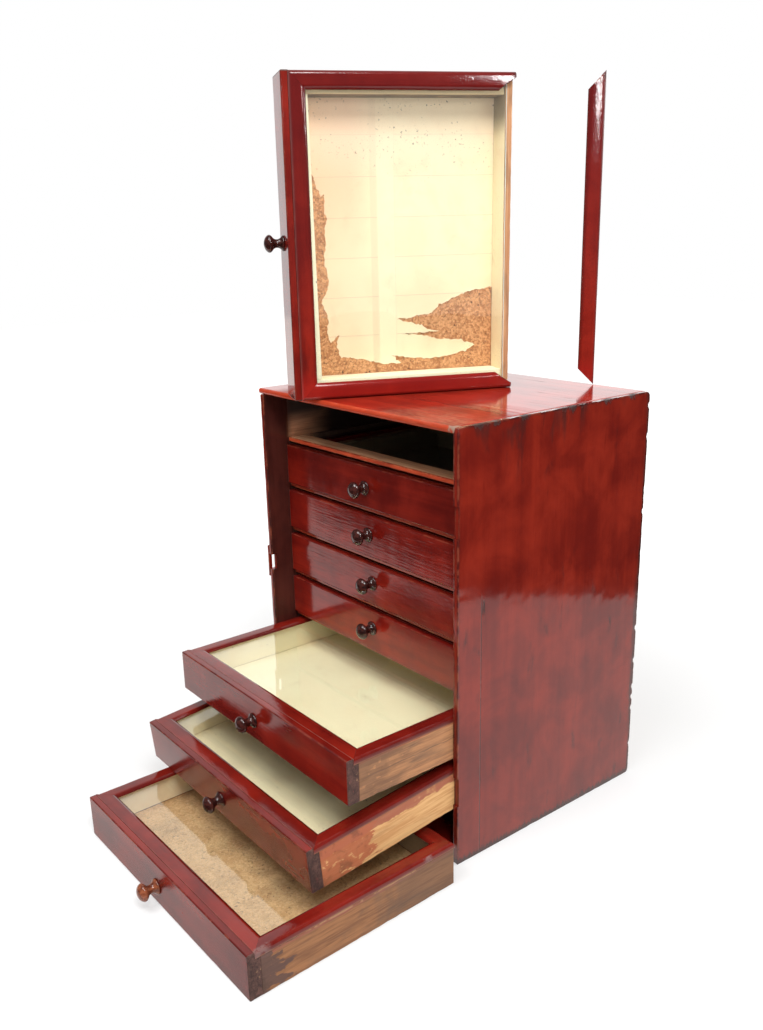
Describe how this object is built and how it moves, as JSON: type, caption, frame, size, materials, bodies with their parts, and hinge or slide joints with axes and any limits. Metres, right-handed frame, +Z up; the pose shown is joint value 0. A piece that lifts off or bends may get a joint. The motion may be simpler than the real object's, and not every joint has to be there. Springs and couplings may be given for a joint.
{
  "type": "collectors cabinet",
  "caption": "Table-top specimen cabinet of thin red-shellacked boards with glazed drawers on dust frames, mitred lids, turned knobs and drawers set out for viewing.",
  "frame": {"origin": "centre of the carcase's footprint, on the underside of the bottom board", "axes": "+Z up, -Y out of the front where the drawers open, +X to the right seen from the front"},
  "size_m": [0.331, 0.5186, 0.7138],
  "materials": {
    "red_shellac": "glossy red shellac over wood",
    "red_edge": "worn red shellac over wood",
    "bare_pine": "raw softwood, stained at the edges",
    "frame_pine": "raw softwood",
    "cream_paper": "aged cream paper over cork",
    "cork_sheet": "bare cork",
    "dark_shellac": "dark polished hardwood",
    "old_glass": "clear old window glass"
  },
  "bodies": {
    "carcase": {"top_board": "red_shellac", "bottom_board": "red_shellac", "left_side": "red_shellac", "right_side": "red_shellac", "back_board": "frame_pine", "door_keeper": "red_edge", "dust_frame_1": "frame_pine", "dust_frame_2": "frame_pine", "dust_frame_3": "frame_pine", "dust_frame_4": "frame_pine", "dust_frame_5": "frame_pine", "dust_frame_6": "frame_pine", "dust_frame_7": "frame_pine"},
    "drawer_1_sheet": {"drawer_1_glass": "old_glass"},
    "drawer_1": {"drawer_1_front": "red_shellac", "drawer_1_box": "bare_pine", "drawer_1_lid": "red_shellac", "drawer_1_knob": "dark_shellac", "drawer_1_lining": "cream_paper"},
    "drawer_2": {"drawer_2_front": "red_shellac", "drawer_2_box": "bare_pine", "drawer_2_lid": "red_shellac", "drawer_2_knob": "dark_shellac", "drawer_2_glass": "old_glass"},
    "drawer_3": {"drawer_3_front": "red_shellac", "drawer_3_box": "bare_pine", "drawer_3_lid": "red_shellac", "drawer_3_knob": "dark_shellac", "drawer_3_glass": "old_glass"},
    "drawer_4": {"drawer_4_front": "red_shellac", "drawer_4_box": "bare_pine", "drawer_4_lid": "red_shellac", "drawer_4_knob": "dark_shellac", "drawer_4_glass": "old_glass"},
    "drawer_5": {"drawer_5_front": "red_shellac", "drawer_5_box": "bare_pine", "drawer_5_lid": "red_shellac", "drawer_5_knob": "dark_shellac", "drawer_5_glass": "old_glass"},
    "drawer_6": {"drawer_6_front": "red_shellac", "drawer_6_box": "bare_pine", "drawer_6_lid": "red_shellac", "drawer_6_knob": "dark_shellac", "drawer_6_lining": "cream_paper", "drawer_6_glass": "old_glass"},
    "drawer_7": {"drawer_7_front": "red_shellac", "drawer_7_box": "bare_pine", "drawer_7_lid": "red_shellac", "drawer_7_knob": "dark_shellac", "drawer_7_lining": "cream_paper", "drawer_7_glass": "old_glass"},
    "drawer_8": {"drawer_8_front": "red_shellac", "drawer_8_box": "bare_pine", "drawer_8_lid": "red_shellac", "drawer_8_knob": "dark_shellac", "drawer_8_lining": "cork_sheet", "drawer_8_glass": "old_glass"},
    "loose_rail": {"drawer_1_back_rail": "red_shellac"}
  },
  "joints": [
    {"name": "drawer_2_slide", "type": "slide", "parent": "carcase", "child": "drawer_2", "axis": [0, -1, 0], "range_m": [0, 0.19]},
    {"name": "drawer_3_slide", "type": "slide", "parent": "carcase", "child": "drawer_3", "axis": [0, -1, 0], "range_m": [0, 0.19]},
    {"name": "drawer_4_slide", "type": "slide", "parent": "carcase", "child": "drawer_4", "axis": [0, -1, 0], "range_m": [0, 0.19]},
    {"name": "drawer_5_slide", "type": "slide", "parent": "carcase", "child": "drawer_5", "axis": [0, -1, 0], "range_m": [0, 0.19]},
    {"name": "drawer_6_slide", "type": "slide", "parent": "carcase", "child": "drawer_6", "axis": [0, -1, 0], "range_m": [-0.1457, 0.045]},
    {"name": "drawer_7_slide", "type": "slide", "parent": "carcase", "child": "drawer_7", "axis": [0, -1, 0], "range_m": [0, 0.03]},
    {"name": "drawer_8_slide", "type": "slide", "parent": "carcase", "child": "drawer_8", "axis": [0.0183, -0.9998, 0], "range_m": [-0.015, 0.15]},
    {"name": "drawer_1_lift", "type": "slide", "parent": "carcase", "child": "drawer_1", "axis": [0, 0, 1], "range_m": [0, 0.1]},
    {"name": "drawer_1_glass_slide", "type": "slide", "parent": "drawer_1", "child": "drawer_1_sheet", "axis": [0.4083, 0.9128, 0], "range_m": [0, 0.12]},
    {"name": "loose_rail_lift", "type": "slide", "parent": "carcase", "child": "loose_rail", "axis": [0, 0, 1], "range_m": [0, 0.1]}
  ]
}
